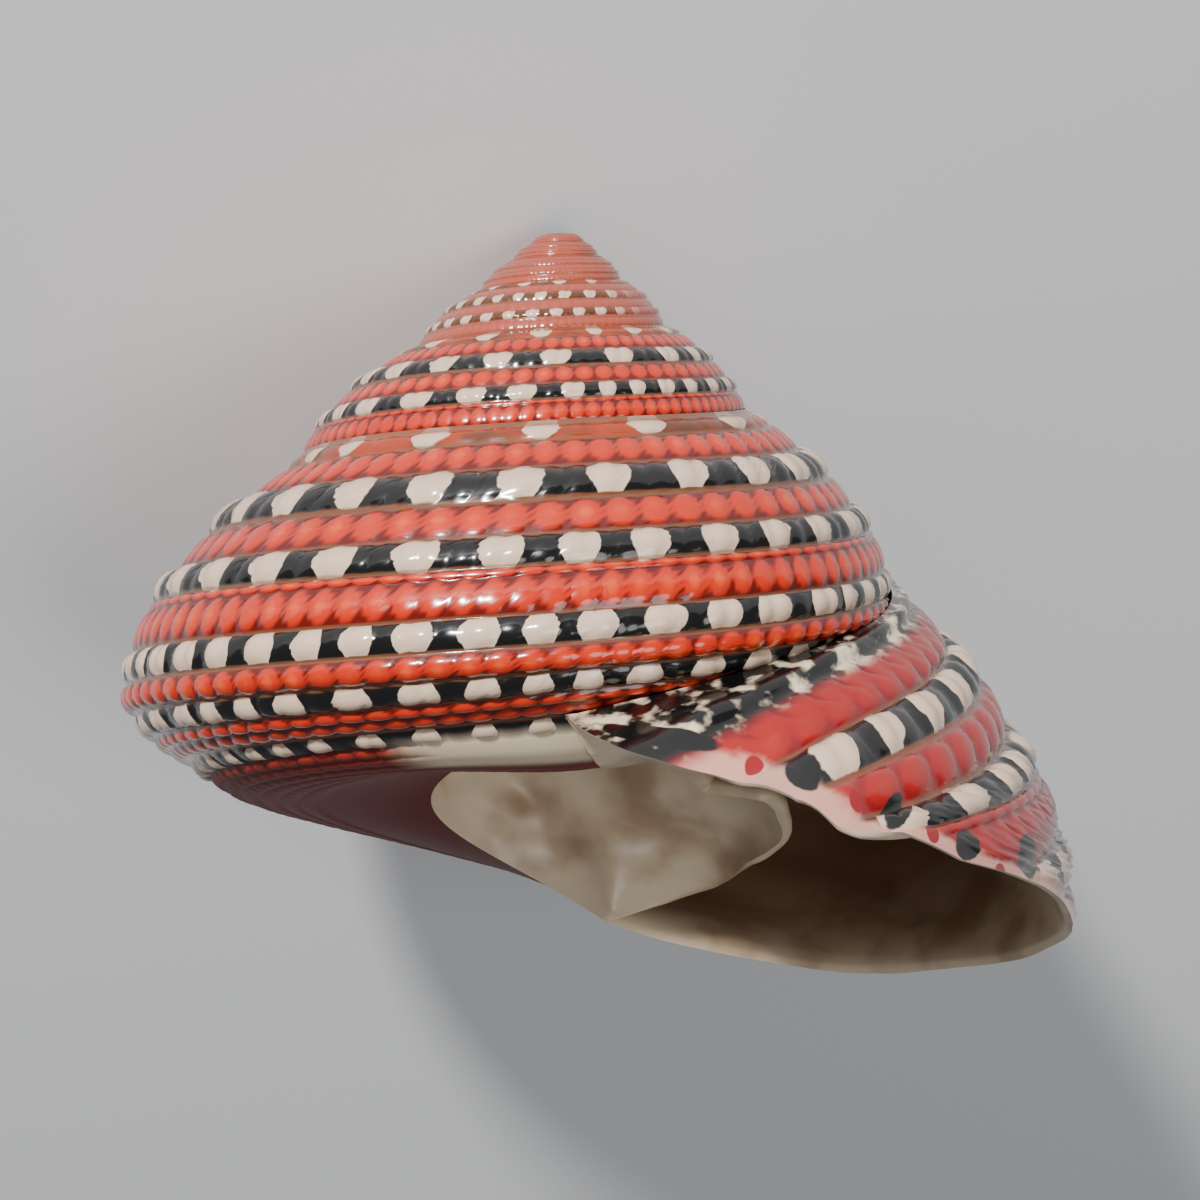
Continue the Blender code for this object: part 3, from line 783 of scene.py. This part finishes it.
def floor_material():
    m = Mixer("floor")
    m.link((0.75, 0.76, 0.77), m.surface.inputs["Base Color"])
    m.surface.inputs["Roughness"].default_value = 0.7
    return m.material


skin = skin_material()
cream = mouth_material()
for item, look in ((body, skin), (spire, skin), (tip, skin), (mouth, cream)):
    item.data.materials.append(look)
    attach(item, "root")
    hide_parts("shell")


# Camera at the photograph's viewing angle: distance from the axis, tip in the frame, roll and tilt
CAMERA_DISTANCE = 2948.4
TIP_IN_FRAME = (561.1, 225.4)
FRAME_MIDDLE = 600.0
CAMERA_ROLL = -1.815 * DEG
CAMERA_TILT = 0.745 * DEG
SENSOR_WIDTH = 36.0


def place_camera():
    """Camera that sees the shell from the front of the chart, though it lies on its back."""
    roll_cos, roll_sin = math.cos(CAMERA_ROLL), math.sin(CAMERA_ROLL)
    tilt_cos, tilt_sin = math.cos(CAMERA_TILT), math.sin(CAMERA_TILT)
    right = np.array([roll_cos, -roll_sin * tilt_sin, -roll_sin * tilt_cos])
    upward = np.array([roll_sin, roll_cos * tilt_sin, roll_cos * tilt_cos])
    forward = np.array([0.0, tilt_cos, -tilt_sin])
    aside = right * (FRAME_MIDDLE - TIP_IN_FRAME[0]) + upward * (TIP_IN_FRAME[1] - FRAME_MIDDLE)
    spot = aside - forward * CAMERA_DISTANCE
    turn = np.stack(rest_axes())
    location = (turn @ spot - np.array([CENTRE_X, CENTRE_Y, -REST_LEVEL])) * UNIT
    axes = np.stack([turn @ right, turn @ upward, -(turn @ forward)], axis=1)
    data = bpy.data.cameras.new("camera")
    data.sensor_width = SENSOR_WIDTH
    data.lens = CAMERA_DISTANCE / (2 * FRAME_MIDDLE) * SENSOR_WIDTH
    data.clip_start = 0.001
    camera = bpy.data.objects.new("camera", data)
    camera.matrix_world = Matrix.Translation(Vector(location)) @ Matrix(axes.tolist()).to_4x4()
    bpy.context.scene.collection.objects.link(camera)
    bpy.context.scene.camera = camera


LIGHT_AIM = (0.0, 0.0, 0.008)


def area_light(name, direction, distance, size, power):
    """Soft round light toward the shell from a chart direction."""
    way = np.stack(rest_axes()) @ (np.array(direction) / np.linalg.norm(direction))
    data = bpy.data.lights.new(name, "AREA")
    data.shape = "DISK"
    data.size = size
    data.energy = power
    light = bpy.data.objects.new(name, data)
    light.location = Vector(way * distance) + Vector(LIGHT_AIM)
    light.rotation_euler = Vector(way).to_track_quat("Z", "Y").to_euler()
    bpy.context.scene.collection.objects.link(light)


def light_air():
    """Even, slightly cool light from all around."""
    world = bpy.data.worlds.new("studio")
    world.use_nodes = True
    background = world.node_tree.nodes["Background"]
    background.inputs["Color"].default_value = (0.9, 0.92, 0.95, 1.0)
    background.inputs["Strength"].default_value = 0.18
    bpy.context.scene.world = world


FLOOR_HALF = 0.5


def lay_floor():
    """Square floor under the shell."""
    corners = [(x * FLOOR_HALF, y * FLOOR_HALF, 0.0) for x, y in ((-1, -1), (1, -1), (1, 1), (-1, 1))]
    mesh = bpy.data.meshes.new("floor")
    mesh.from_pydata(corners, [], [(0, 1, 2, 3)])
    mesh.materials.append(floor_material())
    item = bpy.data.objects.new("floor", mesh)
    bpy.context.scene.collection.objects.link(item)
    return item


place_camera()
area_light("key", (-0.3, -0.85, 0.45), 0.30, 0.03, 1.7)
area_light("fill", (0.5, -0.85, -0.2), 0.35, 0.20, 0.4)
light_air()
floor = lay_floor()
